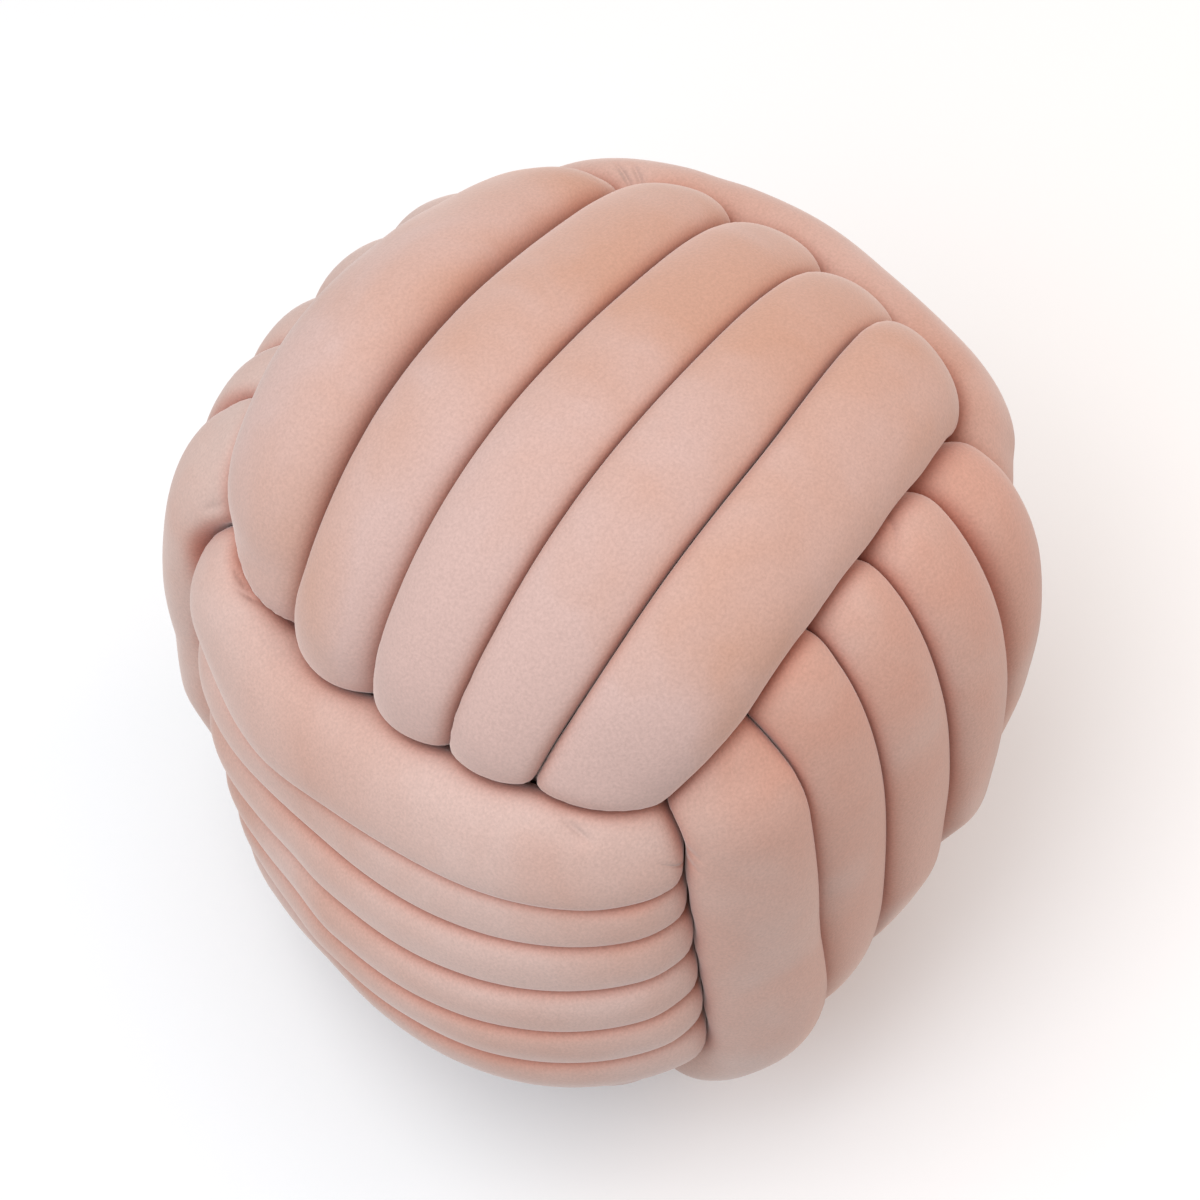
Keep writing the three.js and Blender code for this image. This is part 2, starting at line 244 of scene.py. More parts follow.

# Each set's velvet: its tone at rest; a deep tone painted as crease shade where tubes press on
# each other;
# a paler tone for patches of nap brushed up, laid on more towards one way as painted light and
# sheen;
# that way, and how much more of the paler tone there is all over.
TONES = {
    "crown": {
        "Tone": (0.60, 0.335, 0.245, 1), "Crease Shade Tone": (0.48, 0.18, 0.11, 1),
        "Brushed And Lit Tone": (0.635, 0.43, 0.38, 1),
        "Painted Light Way": (-0.85, 0, 0), "Brushed Shift": 0.0,
    },
    "waist": {
        "Tone": (0.62, 0.36, 0.285, 1), "Crease Shade Tone": (0.56, 0.22, 0.15, 1),
        "Brushed And Lit Tone": (0.68, 0.47, 0.41, 1),
        "Painted Light Way": (-0.3, 0, 0.5), "Brushed Shift": -0.17,
    },
    "flank": {
        "Tone": (0.64, 0.35, 0.27, 1), "Crease Shade Tone": (0.54, 0.19, 0.13, 1),
        "Brushed And Lit Tone": (0.65, 0.46, 0.40, 1),
        "Painted Light Way": (0, 0.5, 0), "Brushed Shift": 0.02,
    },
}

# The floor's half side, the grey that light meets and the white that the camera sees.
FLOOR_HALF = 6.0
FLOOR_GREY = (0.45, 0.45, 0.45, 1)
FLOOR_WHITE = (1.0, 1.0, 1.0, 1)

# The light from all round, the lamps' size and where they point, and each lamp's place, power
# and colour.
ROOM_LIGHT = 0.64
LAMP_SIZE = 1.6
LAMP_AIM = (0, 0, 0.25)
LAMPS = {
    "key": ((-0.6, 0.5, 2.6), 18.5, (1, 1, 1)),
    "warm_side": ((1.7, -1.4, 1.5), 15, (1.0, 0.70, 0.54)),
    "cool_side": ((-1.8, 0.2, 2.2), 21, (0.78, 0.89, 1.0)),
}

# The camera, from the ball's middle; its lens and sensor in millimetres; and how far up and to
# the right of the middle it points.
CAMERA_AZIMUTH = -56.52
CAMERA_ELEVATION = 57.65
CAMERA_DISTANCE = 1.4315
CAMERA_LENS = 70.9
CAMERA_SENSOR = 36
AIM_UP = 0.0173
AIM_RIGHT = 0.0023


# ---------------------------------------------------------------- the ball

def rotation(axis, angle):
    """A turn about one axis, as a 3 by 3 matrix."""
    c, s = math.cos(math.radians(angle)), math.sin(math.radians(angle))
    matrices = {
        "x": [[1, 0, 0], [0, c, -s], [0, s, c]],
        "y": [[c, 0, s], [0, 1, 0], [-s, 0, c]],
        "z": [[c, -s, 0], [s, c, 0], [0, 0, 1]],
    }
    return np.array(matrices[axis])


BALL_TURN = (rotation("z", BALL_TURNS["z"]) @ rotation("y", BALL_TURNS["y"])
             @ rotation("x", BALL_TURNS["x"]))


def ball_measure(points):
    """1 on the ball's skin, less inside, more outside; it grows in proportion along a ray."""
    turned = np.abs(points @ BALL_TURN.T) / BALL_RADII
    return (turned ** BALL_POWER).sum(-1) ** (1 / BALL_POWER)


def skin_depth(points):
    """How far points lie under the skin, measured towards the middle."""
    measure = ball_measure(points)
    return np.linalg.norm(points, axis=-1) * (1 - measure) / measure


def ball_normal(points):
    """The direction straight out of the ball at each point."""
    steps = SLOPE_STEP * np.eye(3)
    normal = np.stack([ball_measure(points + step) - ball_measure(points - step)
                       for step in steps], -1)
    return normal / np.linalg.norm(normal, axis=-1, keepdims=True)


def ease(x, start, end):
    """A smooth climb from 0 to 1 as x goes from start to end."""
    t = np.clip((x - start) / (end - start), 0, 1)
    return (1 - np.cos(np.pi * t)) / 2


# ---------------------------------------------------------------- the turns' centrelines

def centreline(group, turn):
    """A turn's nodes before it settles, and how free each of them is to give way."""
    angle = 2 * np.pi * np.arange(NODES) / NODES
    over_part, under_part = np.cos(angle), np.sin(angle)
    from_over = np.degrees(np.arccos(np.abs(over_part)))
    hidden = ease(from_over, *SQUEEZE_BETWEEN)
    minus = over_part < 0
    lean = np.where(minus, turn.get("lean", 0), turn.get("tilt", 0)) * (1 - hidden)
    rise = np.where(minus, 0, turn.get("rise", 0) * (1 - hidden))
    inward, aside = np.zeros(NODES), np.zeros(NODES)
    for (over_side, under_side), (drawn, moved) in turn.get("ends", {}).items():
        towards = from_over * np.sign(under_part) * SIDE[under_side]
        here = (np.sign(over_part) == SIDE[over_side]) * (1 - ease(from_over, *END_LOST))
        inward += drawn * here * ease(towards, *DRAWN_BETWEEN)
        aside += moved * here * ease(towards, *ASIDE_BETWEEN)
    place = turn["place"] * (1 - INNER_SQUEEZE * hidden) + rise + aside
    across, over, under = (AXIS[group[key]] for key in ("across", "over", "under"))

    def at(radius, o, u):
        points = np.zeros((NODES, 3))
        points[:, over] = radius * o
        points[:, under] = radius * u
        points[:, across] = place + lean * radius * u
        return points

    def radius_at(o, u, depth):
        inside, outside = (np.full(NODES, limit) for limit in SKIN_BETWEEN)
        for _ in range(SKIN_HALVINGS):
            middle = (inside + outside) / 2
            beyond = ball_measure(at(middle, o, u)) > 1
            outside = np.where(beyond, middle, outside)
            inside = np.where(beyond, inside, middle)
        normal = ball_normal(at(inside, o, u))
        return inside - depth / (normal[:, over] * o + normal[:, under] * u)

    shell = radius_at(over_part, under_part, OUTER_DEPTH)
    side = np.where(under_part < 0, -1.0, 1.0)
    wall = radius_at(np.zeros(NODES), side, INNER_DEPTH) / np.maximum(np.abs(under_part), TINY)
    radius = (shell ** -BEND_POWER + wall ** -BEND_POWER) ** (-1 / BEND_POWER)
    proud = np.where(minus, 0, turn.get("proud", 0)) * (1 - hidden)
    radius = radius + proud - inward
    freedom = HELD_EASE + (1 - HELD_EASE) * ease(from_over, *FREED_BETWEEN)
    return at(radius, over_part, under_part), freedom


def along(nodes, places):
    """Points of the smooth closed curve through the nodes, at places from 0 to 1."""
    count = len(nodes)
    t = (places % 1) * count
    index = np.floor(t).astype(int) % count
    t = (t - np.floor(t))[:, None]
    p0, p1, p2, p3 = (nodes[(index + k) % count] for k in (-1, 0, 1, 2))
    m1, m2 = (p2 - p0) / 2, (p3 - p1) / 2
    return ((2 * t ** 3 - 3 * t ** 2 + 1) * p1 + (t ** 3 - 2 * t ** 2 + t) * m1
            + (-2 * t ** 3 + 3 * t ** 2) * p2 + (t ** 3 - t ** 2) * m2)


def make_rings():
    """All the turns, each as its name, its girth and its centreline before it settles."""
    rings = []
    for name, group in SETS.items():
        for number, turn in enumerate(group["turns"], 1):
            home, freedom = centreline(group, turn)
            rings.append({
                "name": f"{name}_turn_{number}", "set": name, "group": group,
                "girth": turn["girth"], "home": home, "freedom": freedom,
                "least_depth": np.minimum(LEAST_DEPTH * turn["girth"], skin_depth(home)),
                "shift": np.zeros_like(home),
            })
    return rings


def ease_against(ring, other):
    """How readily a turn gives way to another: less where its set covers the other's."""
    covers = COVERS[ring["set"]] == other["set"]
    return ring["freedom"] * (COVERING_EASE if covers else 1)


def push_apart(one, two, least):
    """Nodes of two turns that are nearer than they may be give way; the freer ones more."""
    away = (one["home"] + one["shift"])[:, None] - (two["home"] + two["shift"])[None]
    distance = np.linalg.norm(away, axis=-1)
    if distance.min() >= least:
        return
    for first, second, towards in ((one, two, 1), (two, one, -1)):
        gaps = distance if towards == 1 else distance.T
        nearest = gaps.argmin(1)
        rows = np.nonzero(gaps[np.arange(NODES), nearest] < least)[0]
        if not len(rows):
            continue
        columns = nearest[rows]
        vectors = away[rows, columns] if towards == 1 else -away[columns, rows]
        lengths = gaps[rows, columns]
        first_ease = ease_against(first, second)[rows]
        total = first_ease + ease_against(second, first)[columns]
        share = PUSH_SHARE * (least - lengths) / lengths * first_ease / total
        first["shift"][rows] += vectors * share[:, None]


def settle(rings):
    """Crossing turns push each other into place, and each stays under the skin."""
    for _ in range(SETTLE_ROUNDS):
        for index, one in enumerate(rings):
            for two in rings[index + 1:]:
                stacked = one["set"] == two["set"]
                closeness = STACKED_CLOSENESS if stacked else CROSSING_CLOSENESS
                push_apart(one, two, closeness * (one["girth"] + two["girth"]))
        for ring in rings:
            shift = ring["shift"]
            beside = (np.roll(shift, 1, 0) + np.roll(shift, -1, 0)) / 2
            shift = shift * (1 - SHIFT_SPREAD) + beside * SHIFT_SPREAD
            shift *= 1 - HELD_RETURN * (1 - ring["freedom"][:, None])
            points = ring["home"] + shift
            short = np.maximum(ring["least_depth"] - skin_depth(points), 0)
            inward = points / np.linalg.norm(points, axis=1, keepdims=True)
            ring["shift"] = shift - inward * short[:, None]
    for ring in rings:
        ring["nodes"] = ring["home"] + ring["shift"]
        ring["guide"] = along(ring["nodes"], np.arange(GUIDE_STEPS) / GUIDE_STEPS)


# ---------------------------------------------------------------- the turns' skins

def station_places(guide, count):
    """Places from 0 to 1 of a turn's stations: even, and closer where it bends."""
    step = np.roll(guide, -1, 0) - guide
    length = np.linalg.norm(step, axis=1)
    unit = step / length[:, None]
    turned = np.arccos(np.clip((unit * np.roll(unit, 1, 0)).sum(1), -1, 1))
    weight = length + BEND_CROWDING * turned
    weight = (np.roll(weight, 1) + 2 * weight + np.roll(weight, -1)) / 4
    reached = np.concatenate([[0], np.cumsum(weight)])
    wanted = reached[-1] * np.arange(count) / count
    return np.interp(wanted, reached, np.arange(len(guide) + 1) / len(guide))


def stations(ring, count, sides):
    """Places, centres, rays and bends of a turn's sections, and the angles of the rays."""
    places = station_places(ring["guide"], count)
    stride = FRAME_STRIDE / NODES
    centre, ahead, behind = (along(ring["nodes"], places + k * stride) for k in (0, 1, -1))
    tangent = ahead - behind
    bend = (ahead + behind - 2 * centre) * 4 / (tangent ** 2).sum(1, keepdims=True)
    tangent /= np.linalg.norm(tangent, axis=1, keepdims=True)
    outward = centre - (centre * tangent).sum(1, keepdims=True) * tangent
    outward /= np.linalg.norm(outward, axis=1, keepdims=True)
    side = np.cross(outward, tangent)
    angle = 2 * np.pi * np.arange(sides) / sides
    rays = (side[:, None] * np.cos(angle)[None, :, None]
            + outward[:, None] * np.sin(angle)[None, :, None])
    return {"places": places, "centre": centre, "rays": rays, "bend": bend, "angle": angle}


def room_towards(rays, centre, ring, other, half_gap):
    """One over the distance that rays may go before they near another turn, or 0."""
    count, sides = rays.shape[:2]
    inverse = np.zeros((count, sides))
    girth, other_girth = ring["girth"], other["girth"]
    guide = other["guide"]
    apart = np.linalg.norm(centre[:, None] - guide[None], axis=-1).min(1)
    rows = np.nonzero(apart < NEIGHBOUR_GIRTHS * girth + other_girth)[0]
    for start in range(0, len(rows), ROOM_BLOCK):
        block = rows[start:start + ROOM_BLOCK]
        middle = centre[block].mean(0)
        close = np.linalg.norm(guide - middle, axis=1) < NEIGHBOUR_REACH
        if not close.any():
            continue
        marks = guide[close]
        here, ray = centre[block][:, None], rays[block]
        reach = np.full(ray.shape[:2], girth)
        free = np.zeros(ray.shape[:2], bool)
        for _ in range(ROOM_LOOKS):
            points = here + ray * reach[..., None]
            spans = points[:, :, None] - marks[None, None]
            nearest = (spans ** 2).sum(-1).argmin(-1)
            # The neighbour's nearest mark, slid along its line to stand level with the tip.
            between = marks[nearest] - here
            tip = points - marks[nearest]
            index = np.nonzero(close)[0][nearest]
            line = guide[(index + 1) % GUIDE_STEPS] - guide[index - 1]
            line /= np.linalg.norm(line, axis=-1, keepdims=True)
            between = between + line * (tip * line).sum(-1, keepdims=True)
            closing = (between * ray).sum(-1)
            free |= closing <= LEAST_CLOSING
            # The border between two tubes that press on each other, nearer to the thinner one.
            distance = np.linalg.norm(between, axis=-1)
            border = (distance ** 2 + girth ** 2 - other_girth ** 2) / (2 * distance)
            limit = np.maximum(border - half_gap, LEAST_ROOM) * distance
            reach = np.where(free, girth, limit / np.maximum(closing, LEAST_CLOSING))
            free |= reach > FREE_GIRTHS * girth
            reach = np.where(free, girth, reach)
        inverse[block] = np.where(free, 0, 1 / reach)
    return inverse


def refine(values, count, sides):
    """A closed grid of values read off at more stations and points round."""
    rows, columns = values.shape
    wide = np.concatenate([values, values[:1]], 0)
    at = np.arange(count) * rows / count
    low = np.floor(at).astype(int)
    part = (at - low)[:, None]
    wide = wide[low] * (1 - part) + wide[low + 1] * part
    wide = np.concatenate([wide, wide[:, :1]], 1)
    at = np.arange(sides) * columns / sides
    low = np.floor(at).astype(int)
    part = (at - low)[None]
    return wide[:, low] * (1 - part) + wide[:, low + 1] * part


def soften(values, times, rows=1.0, columns=1.0):
    """A closed grid of values blurred so many times, with weights along it and round it."""
    for _ in range(times):
        beside = (np.roll(values, 1, 0) + np.roll(values, -1, 0)) / 2
        values = values + 0.5 * rows * (beside - values)
        beside = (np.roll(values, 1, 1) + np.roll(values, -1, 1)) / 2
        values = values + 0.5 * columns * (beside - values)
    return values


def pressed_by_neighbours(ring, rings):
    """One over the room that all neighbours leave a skin, to the corner power."""
    coarse = stations(ring, ROOM_STATIONS, ROOM_ROUND)
    pressed = np.zeros((STATIONS, ROUND))
    for other in rings:
        if other is ring:
            continue
        half_gap = HALF_GAP if other["set"] == ring["set"] else HALF_GAP_CROSSING
        inverse = room_towards(coarse["rays"], coarse["centre"], ring, other, half_gap)
        if inverse.any():
            pressed += refine(inverse, STATIONS, ROUND) ** CORNER_POWER
    return pressed


def free_section(girth, section):
    """One over the reach of a skin that nothing presses on."""
    sine = np.sin(section["angle"])[None]
    cosine = np.abs(np.cos(section["angle"]))[None]
    depth = skin_depth(section["centre"])[:, None]
    outer = np.clip(depth, FREE_HEIGHT * girth, DIVE_HEIGHT * girth)
    height = np.where(sine > 0, outer, FREE_HEIGHT * girth)
    return ((cosine / (FREE_WIDTH * girth)) ** FREE_POWER
            + (np.abs(sine) / height) ** FREE_POWER) ** (1 / FREE_POWER)


def uneven_swell(section):
    """Where the stuffing swells and sinks, from 1 to -1."""
    return sum(np.sin(2 * np.pi * (length * section["places"][:, None] + chance.random())
                      + round_it * section["angle"][None])
               for length, round_it in SWELLS) / len(SWELLS)


def swollen_skin(ring, rings):
    """The grid of points of a turn's skin and how hard each is pressed, from 0 to 1."""
    girth = ring["girth"]
    section = stations(ring, STATIONS, ROUND)
    centre, rays = section["centre"][:, None], section["rays"]
    pressed = pressed_by_neighbours(ring, rings)
    free = free_section(girth, section)
    tight = np.maximum((section["bend"][:, None] * rays).sum(-1), 0) / BEND_ROOM
    reach = (free ** CORNER_POWER + pressed + tight ** CORNER_POWER) ** (-1 / CORNER_POWER)
    reach = soften(reach, REACH_BLURS, columns=ROUND_BLUR)
    hard = pressed / (pressed + free ** CORNER_POWER)
    evened = np.clip(soften(hard, EVEN_BLURS) * EVEN_SHARE, 0, 1)
    reach = reach + UNEVEN * girth * uneven_swell(section) * (1 - evened)
    to_floor = BALL_HEIGHT + centre[..., 2]
    climb = rays[..., 2]
    reach = np.minimum(reach, np.where(climb < 0, to_floor / -np.minimum(climb, -TINY), 1))
    return centre + rays * reach[..., None], soften(hard, PRESSED_BLURS)


# ---------------------------------------------------------------- meshes

def grid_quads(rows, columns):
    """The quads of a closed grid, as numbers of its points."""
    i, j = np.meshgrid(np.arange(rows), np.arange(columns), indexing="ij")
    ahead, beside = (i + 1) % rows, (j + 1) % columns
    return np.stack([i * columns + j, i * columns + beside,
                     ahead * columns + beside, ahead * columns + j], -1).reshape(-1, 4)


def give_way(own, other_tree, around):
    """How far points of one skin move so as to clear another, near the points around."""
    move = np.zeros_like(own)
    near = ((own > around.min(0) - CLEAR_REACH) & (own < around.max(0) + CLEAR_REACH)).all(1)
    for index in np.nonzero(near)[0]:
        place, normal, _, _ = other_tree.find_nearest(own[index].tolist(), CLEAR_REACH)
        if place is not None:
            ahead = (Vector(own[index].tolist()) - place).dot(normal)
            if ahead < CLEARANCE:
                move[index] = np.array(normal) * (CLEARANCE - ahead) / 2
    return move


def clear_crossings(skins):
    """Skins that still pass into each other give way, each by half."""
    quads = grid_quads(STATIONS, ROUND)
    triangles = np.concatenate([quads[:, [0, 1, 2]], quads[:, [0, 2, 3]]])
    faces = triangles.tolist()
    flat = [points.reshape(-1, 3) for points in skins]
    for _ in range(CLEAR_ROUNDS):
        trees = [BVHTree.FromPolygons(own.tolist(), faces, all_triangles=True) for own in flat]
        moves = [np.zeros_like(own) for own in flat]
        for pair in itertools.combinations(range(len(flat)), 2):
            met = np.array(trees[pair[0]].overlap(trees[pair[1]])).reshape(-1, 2)
            for (one, other), met_on_one in zip((pair, pair[::-1]), met.T):
                if len(met):
                    around = flat[one][triangles[met_on_one]].reshape(-1, 3)
                    moves[one] += give_way(flat[one], trees[other], around)
        flat = [own + move for own, move in zip(flat, moves)]
    return [own.reshape(points.shape) for own, points in zip(flat, skins)]


def grid_mesh(name, points):
    """A closed ring of quads from a grid of points, with its lengthwise and round UVs."""
    rows, columns = points.shape[:2]
    i, j = np.meshgrid(np.arange(rows), np.arange(columns), indexing="ij")
    quads = grid_quads(rows, columns)
    mesh = bpy.data.meshes.new(name)
    mesh.from_pydata(points.reshape(-1, 3).tolist(), [], quads.tolist())
    mesh.polygons.foreach_set("use_smooth", [True] * len(mesh.polygons))
    uv = mesh.uv_layers.new(name="tube")
    corners = np.stack([
        np.stack([i / rows, j / columns], -1),
        np.stack([i / rows, (j + 1) / columns], -1),
        np.stack([(i + 1) / rows, (j + 1) / columns], -1),
        np.stack([(i + 1) / rows, j / columns], -1),
    ], 2).reshape(-1, 2)
    uv.data.foreach_set("uv", corners.ravel())
    mesh.update()
    return mesh


def add_values(mesh, name, values):
    """A number at each vertex, for the materials to read."""
    layer = mesh.attributes.new(name, "FLOAT", "POINT")
    layer.data.foreach_set("value", values.ravel().astype(np.float32))


def fold_ways(middle, along_it):
    """A fold's own directions: along it, across it and out of the ball."""
    run = Vector(along_it).normalized()
    out = (Vector(middle) - Vector((0, 0, BALL_HEIGHT))).normalized()
    return run, out.cross(run).normalized(), out


def sink(points, folds):
    """Points drawn in a little along each fold, so that a gather lies in a dip."""
    for middle, along_it, length, width, depth in folds:
        run, over, out = (np.array(way) for way in fold_ways(middle, along_it))
        away = points - np.array(middle)
        fade = 1 - (away @ run / length) ** 2 - (away @ out / FOLD_REACH) ** 2
        dip = np.maximum(fade, 0) / (1 + (away @ over / (DIP_SPREAD * width)) ** 2)
        points = points - (DIP_DEPTH * depth * dip ** 2)[..., None] * out
    return points


def make_skin(ring, rings):
    """A turn's skin where it stands, with its dips, and how hard it is pressed."""
    points, hard = swollen_skin(ring, rings)
    return sink(points + np.array([0, 0, BALL_HEIGHT]), FOLDS[ring["set"]]), hard


def make_turn(ring, points, hard, material):
    """One turn's piece, riding on the part and standing for its solid."""
    mesh = grid_mesh(ring["name"] + "_velvet", points)
    # How hard each point is pressed, kept as the mask of the painted crease shade.
    add_values(mesh, "pressed", hard ** CREASE_SHADE_POWER[ring["set"]])
    piece = bpy.data.objects.new(ring["name"] + "_velvet", mesh)
    bpy.context.scene.collection.objects.link(piece)
    mesh.materials.append(material)
    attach(piece, "root")
    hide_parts(ring["name"])


# ---------------------------------------------------------------- finish

def new_group(name, inputs, outputs):
    """An empty shader node group with named sockets, its inputs at their starting values."""
    group = bpy.data.node_groups.new(name, "ShaderNodeTree")
    for socket, kind, value in inputs:
        item = group.interface.new_socket(name=socket, in_out="INPUT", socket_type=kind)
        item.default_value = value
    for socket, kind in outputs:
        group.interface.new_socket(name=socket, in_out="OUTPUT", socket_type=kind)
    start = group.nodes.new("NodeGroupInput")
    end = group.nodes.new("NodeGroupOutput")
    return group, start, end


def velvet_group():
    """Velvet's colour, roughness and height: nap patches that grow paler towards one way as
    painted light and sheen, a painted crease shade where it is pressed, and a fine grain of pile."""
    colour, number = "NodeSocketColor", "NodeSocketFloat"
    group, start, end = new_group(
        "velvet_pile",
        [("Tone", colour, (0.8, 0.6, 0.5, 1)), ("Crease Shade Tone", colour, (0.6, 0.35, 0.28, 1)),
         ("Brushed And Lit Tone", colour, (0.85, 0.7, 0.6, 1)), ("Crease Shade", number, 0.0),
         ("Painted Light Way", "NodeSocketVector", (0, 0, 0)), ("Brushed Shift", number, 0.0),
         ("Patch Scale", number, 9.0), ("Pile Scale", number, 620.0)],
        [("Color", colour), ("Roughness", number), ("Height", number)])
    nodes, links = group.nodes, group.links
    place = nodes.new("ShaderNodeTexCoord")
    patches = nodes.new("ShaderNodeTexNoise")
    patches.inputs["Detail"].default_value = 3
    patches.inputs["Roughness"].default_value = 0.5
    patches.inputs["Distortion"].default_value = 0.4
    pile = nodes.new("ShaderNodeTexNoise")
    pile.inputs["Detail"].default_value = 2
    pile.inputs["Roughness"].default_value = 0.6
    links.new(place.outputs["Object"], patches.inputs["Vector"])
    links.new(place.outputs["Object"], pile.inputs["Vector"])
    links.new(start.outputs["Patch Scale"], patches.inputs["Scale"])
    links.new(start.outputs["Pile Scale"], pile.inputs["Scale"])

    spread = nodes.new("ShaderNodeMapRange")
    spread.inputs["From Min"].default_value = 0.31
    spread.inputs["From Max"].default_value = 0.69
    # The paler tone grows towards one way across the object: painted light and sheen.
    way = nodes.new("ShaderNodeVectorMath")
    way.operation = "DOT_PRODUCT"
    links.new(place.outputs["Object"], way.inputs[0])
    links.new(start.outputs["Painted Light Way"], way.inputs[1])
    shifted = nodes.new("ShaderNodeMath")
    links.new(way.outputs["Value"], shifted.inputs[0])
    links.new(start.outputs["Brushed Shift"], shifted.inputs[1])
    patches_and_painted_light = nodes.new("ShaderNodeMath")
    links.new(patches.outputs["Fac"], patches_and_painted_light.inputs[0])
    links.new(shifted.outputs["Value"], patches_and_painted_light.inputs[1])
    links.new(patches_and_painted_light.outputs["Value"], spread.inputs["Value"])
    brushed_and_lit = nodes.new("ShaderNodeMix")
    brushed_and_lit.data_type = "RGBA"
    links.new(spread.outputs["Result"], brushed_and_lit.inputs["Factor"])
    links.new(start.outputs["Tone"], brushed_and_lit.inputs["A"])
    links.new(start.outputs["Brushed And Lit Tone"], brushed_and_lit.inputs["B"])
    # The deep tone where a turn is pressed between tubes: painted crease shade.
    deep = nodes.new("ShaderNodeMix")
    deep.data_type = "RGBA"
    links.new(start.outputs["Crease Shade"], deep.inputs["Factor"])
    links.new(brushed_and_lit.outputs["Result"], deep.inputs["A"])
    links.new(start.outputs["Crease Shade Tone"], deep.inputs["B"])
    grain = nodes.new("ShaderNodeMapRange")
    grain.inputs["From Min"].default_value = 0.3
    grain.inputs["From Max"].default_value = 0.7
    grain.inputs["To Min"].default_value = 0.91
    grain.inputs["To Max"].default_value = 1.06
    links.new(pile.outputs["Fac"], grain.inputs["Value"])
    speckled = nodes.new("ShaderNodeMix")
    speckled.data_type = "RGBA"
    speckled.blend_type = "MULTIPLY"
    speckled.inputs["Factor"].default_value = 1
    links.new(deep.outputs["Result"], speckled.inputs["A"])
    links.new(grain.outputs["Result"], speckled.inputs["B"])
    links.new(speckled.outputs["Result"], end.inputs["Color"])
    rough = nodes.new("ShaderNodeMapRange")
    rough.inputs["To Min"].default_value = 0.82
    rough.inputs["To Max"].default_value = 0.96
    links.new(patches.outputs["Fac"], rough.inputs["Value"])
    links.new(rough.outputs["Result"], end.inputs["Roughness"])
    links.new(pile.outputs["Fac"], end.inputs["Height"])
    return group


def fold_group():
    """A crease that runs through a point: as high as its depth at its bottom, 0 away from it."""
    vector, number = "NodeSocketVector", "NodeSocketFloat"
    group, start, end = new_group(
        "fold",
        [("Middle", vector, (0, 0, 0)), ("Along", vector, (1, 0, 0)),
         ("Across", vector, (0, 1, 0)), ("Out", vector, (0, 0, 1)), ("Depth", number, 1.0)],
        [("Height", number)])
    nodes, links = group.nodes, group.links
    place = nodes.new("ShaderNodeTexCoord")
    away = nodes.new("ShaderNodeVectorMath")
    away.operation = "SUBTRACT"
    links.new(place.outputs["Object"], away.inputs[0])
    links.new(start.outputs["Middle"], away.inputs[1])

    def combine(operation, first, second):
        node = nodes.new("ShaderNodeMath")
        node.operation = operation
        for value, socket in ((first, node.inputs[0]), (second, node.inputs[1])):
            if isinstance(value, (int, float)):
                socket.default_value = value
            else:
                links.new(value, socket)
        return node.outputs["Value"]

    def squared(direction):
        part = nodes.new("ShaderNodeVectorMath")
        part.operation = "DOT_PRODUCT"
        links.new(away.outputs["Vector"], part.inputs[0])
        links.new(start.outputs[direction], part.inputs[1])
        return combine("MULTIPLY", part.outputs["Value"], part.outputs["Value"])

    reached = combine("ADD", squared("Along"), squared("Out"))
    fade = combine("MAXIMUM", combine("SUBTRACT", 1.0, reached), 0.0)
    valley = combine("DIVIDE", fade, combine("ADD", squared("Across"), 1.0))
    depth = combine("MULTIPLY", combine("MULTIPLY", valley, valley), start.outputs["Depth"])
    links.new(depth, end.inputs["Height"])
    return group


def take_off_folds(tree, fold, folds, height):
    """Takes folds off a height and returns what is left."""
    for middle, along_it, length, width, depth in folds:
        run, over, out = fold_ways(middle, along_it)
        node = tree.nodes.new("ShaderNodeGroup")
        node.node_tree = fold
        node.inputs["Middle"].default_value = middle
        node.inputs["Along"].default_value = run / length
        node.inputs["Across"].default_value = over / width
        node.inputs["Out"].default_value = out / FOLD_REACH
        node.inputs["Depth"].default_value = depth
        less = tree.nodes.new("ShaderNodeMath")
        less.operation = "SUBTRACT"
        tree.links.new(height, less.inputs[0])
        tree.links.new(node.outputs["Height"], less.inputs[1])
        height = less.outputs["Value"]
    return height


def velvet(name, group, tones, fold, folds):
    """A short-pile velvet in one set's tones, paler towards one way as painted light and sheen,
    and darker with painted crease shade where it is pressed.
    """
    material = bpy.data.materials.new(name)
    material.use_nodes = True
    nodes, links = material.node_tree.nodes, material.node_tree.links
    shader = nodes["Principled BSDF"]
    pile = nodes.new("ShaderNodeGroup")
    pile.node_tree = group
    for socket, value in tones.items():
        pile.inputs[socket].default_value = value
    # How hard the turn is pressed, read as the mask of the painted crease shade.
    pressed = nodes.new("ShaderNodeAttribute")
    pressed.attribute_name = "pressed"
    links.new(pressed.outputs["Fac"], pile.inputs["Crease Shade"])
    pebbles = nodes.new("ShaderNodeMath")
    pebbles.operation = "MULTIPLY"
    pebbles.inputs[1].default_value = PILE_HEIGHT / FOLD_HEIGHT
    links.new(pile.outputs["Height"], pebbles.inputs[0])
    bump = nodes.new("ShaderNodeBump")
    bump.inputs["Strength"].default_value = 1.0
    bump.inputs["Distance"].default_value = FOLD_HEIGHT
    height = take_off_folds(material.node_tree, fold, folds, pebbles.outputs["Value"])
    links.new(height, bump.inputs["Height"])
    links.new(pile.outputs["Color"], shader.inputs["Base Color"])
    links.new(pile.outputs["Roughness"], shader.inputs["Roughness"])
    links.new(bump.outputs["Normal"], shader.inputs["Normal"])
    shader.inputs["Specular IOR Level"].default_value = 0.15
    shader.inputs["Sheen Weight"].default_value = 0.8
    shader.inputs["Sheen Roughness"].default_value = 0.42
    shader.inputs["Sheen Tint"].default_value = (1.0, 0.88, 0.83, 1)
    return material


# ---------------------------------------------------------------- room, light and camera

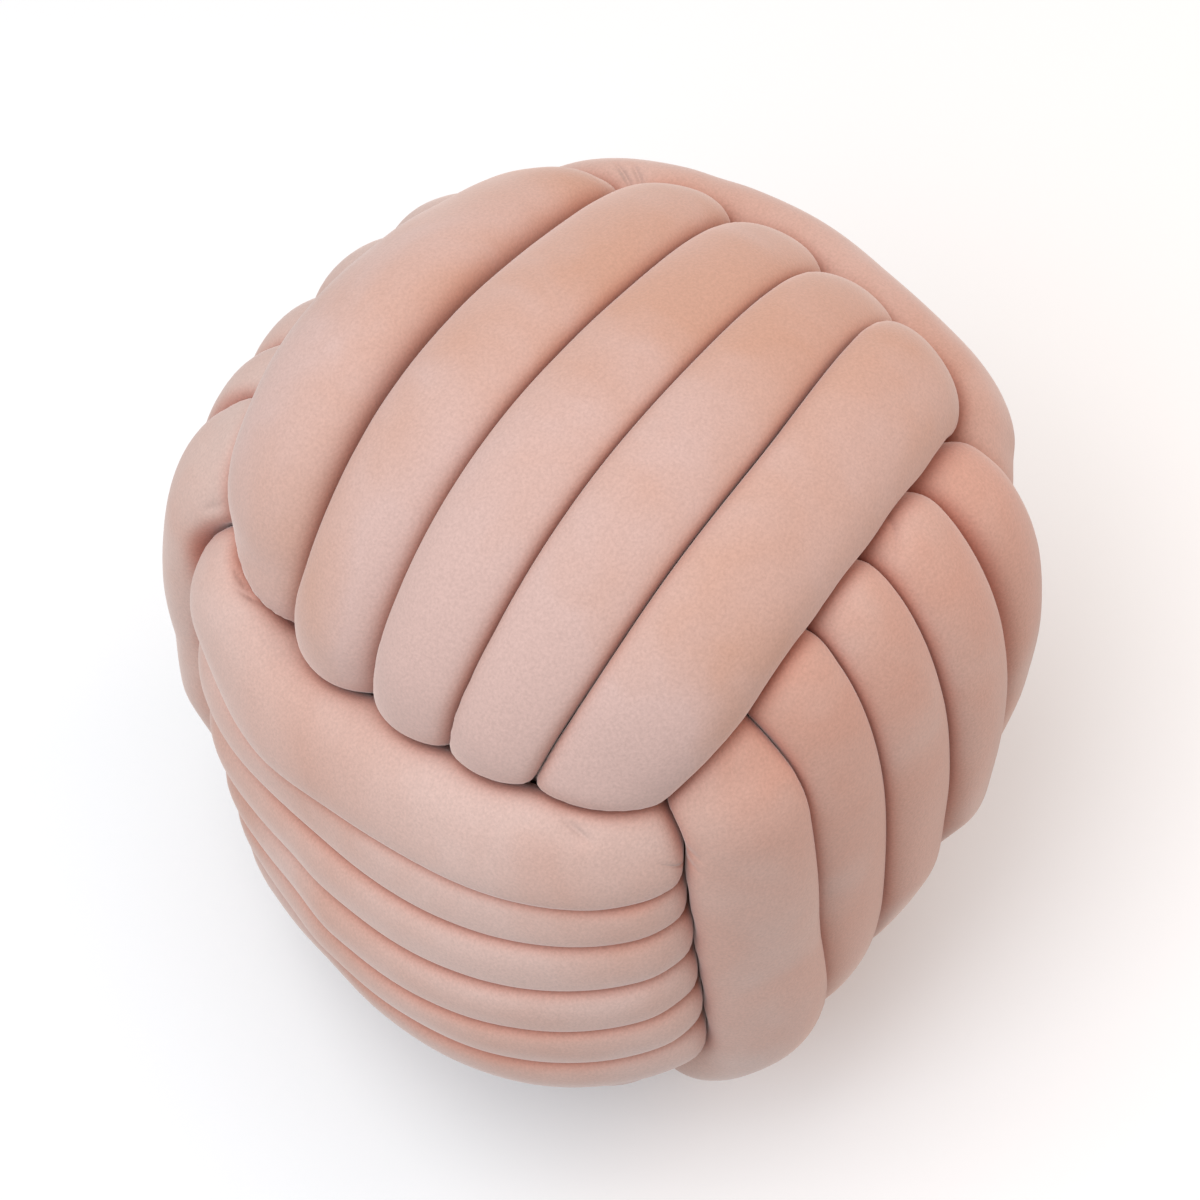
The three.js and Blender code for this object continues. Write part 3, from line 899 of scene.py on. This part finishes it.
def make_floor():
    """A floor that the light sees as grey and the camera as white."""
    mesh = bpy.data.meshes.new("floor")
    half = FLOOR_HALF
    corners = [(-half, -half, 0), (half, -half, 0), (half, half, 0), (-half, half, 0)]
    mesh.from_pydata(corners, [], [(0, 1, 2, 3)])
    floor = bpy.data.objects.new("floor", mesh)
    bpy.context.scene.collection.objects.link(floor)
    material = bpy.data.materials.new("pale_floor")
    material.use_nodes = True
    shader = material.node_tree.nodes["Principled BSDF"]
    shader.inputs["Roughness"].default_value = 0.9
    shader.inputs["Specular IOR Level"].default_value = 0.1
    rays = material.node_tree.nodes.new("ShaderNodeLightPath")
    seen = material.node_tree.nodes.new("ShaderNodeMix")
    seen.data_type = "RGBA"
    seen.inputs["A"].default_value = FLOOR_GREY
    seen.inputs["B"].default_value = FLOOR_WHITE
    material.node_tree.links.new(rays.outputs["Is Camera Ray"], seen.inputs["Factor"])
    material.node_tree.links.new(seen.outputs["Result"], shader.inputs["Base Color"])
    mesh.materials.append(material)


def make_lamp(name, place, power, colour):
    """A soft round lamp that points at the ball."""
    lamp = bpy.data.lights.new(name, "AREA")
    lamp.shape = "DISK"
    lamp.size = LAMP_SIZE
    lamp.energy = power
    lamp.color = colour
    holder = bpy.data.objects.new(name, lamp)
    holder.location = place
    way = Vector(LAMP_AIM) - Vector(place)
    holder.rotation_euler = way.to_track_quat("-Z", "Y").to_euler()
    bpy.context.scene.collection.objects.link(holder)


def make_light():
    """An even white light from all round, and the lamps."""
    world = bpy.data.worlds.new("studio")
    bpy.context.scene.world = world
    world.use_nodes = True
    background = world.node_tree.nodes["Background"]
    background.inputs["Color"].default_value = (1, 1, 1, 1)
    background.inputs["Strength"].default_value = ROOM_LIGHT
    for name, (place, power, colour) in LAMPS.items():
        make_lamp(name, place, power, colour)


def make_camera():
    """The camera, looking down at the ball."""
    azimuth, elevation = math.radians(CAMERA_AZIMUTH), math.radians(CAMERA_ELEVATION)
    back = Vector((math.sin(azimuth) * math.cos(elevation),
                   -math.cos(azimuth) * math.cos(elevation), math.sin(elevation)))
    right = Vector((math.cos(azimuth), math.sin(azimuth), 0))
    up = back.cross(right)
    middle = Vector((0, 0, BALL_HEIGHT))
    camera = bpy.data.objects.new("camera", bpy.data.cameras.new("camera"))
    camera.location = middle + back * CAMERA_DISTANCE
    aim = middle + up * AIM_UP + right * AIM_RIGHT
    camera.rotation_euler = (aim - camera.location).to_track_quat("-Z", "Y").to_euler()
    camera.data.lens = CAMERA_LENS
    camera.data.sensor_width = CAMERA_SENSOR
    bpy.context.scene.collection.objects.link(camera)
    bpy.context.scene.camera = camera


# ---------------------------------------------------------------- making it

make_camera()
make_floor()
make_light()
pile_group = velvet_group()
crease_group = fold_group()
velvets = {name: velvet("velvet_" + name, pile_group, tones, crease_group, FOLDS[name])
           for name, tones in TONES.items()}
all_rings = make_rings()
settle(all_rings)
all_points, all_crease_shade = zip(*(make_skin(one_ring, all_rings) for one_ring in all_rings))
for one_ring, one_points, one_crease_shade in zip(all_rings, clear_crossings(all_points), all_crease_shade):
    make_turn(one_ring, one_points, one_crease_shade, velvets[one_ring["set"]])

bpy.context.scene.view_settings.view_transform = "Standard"
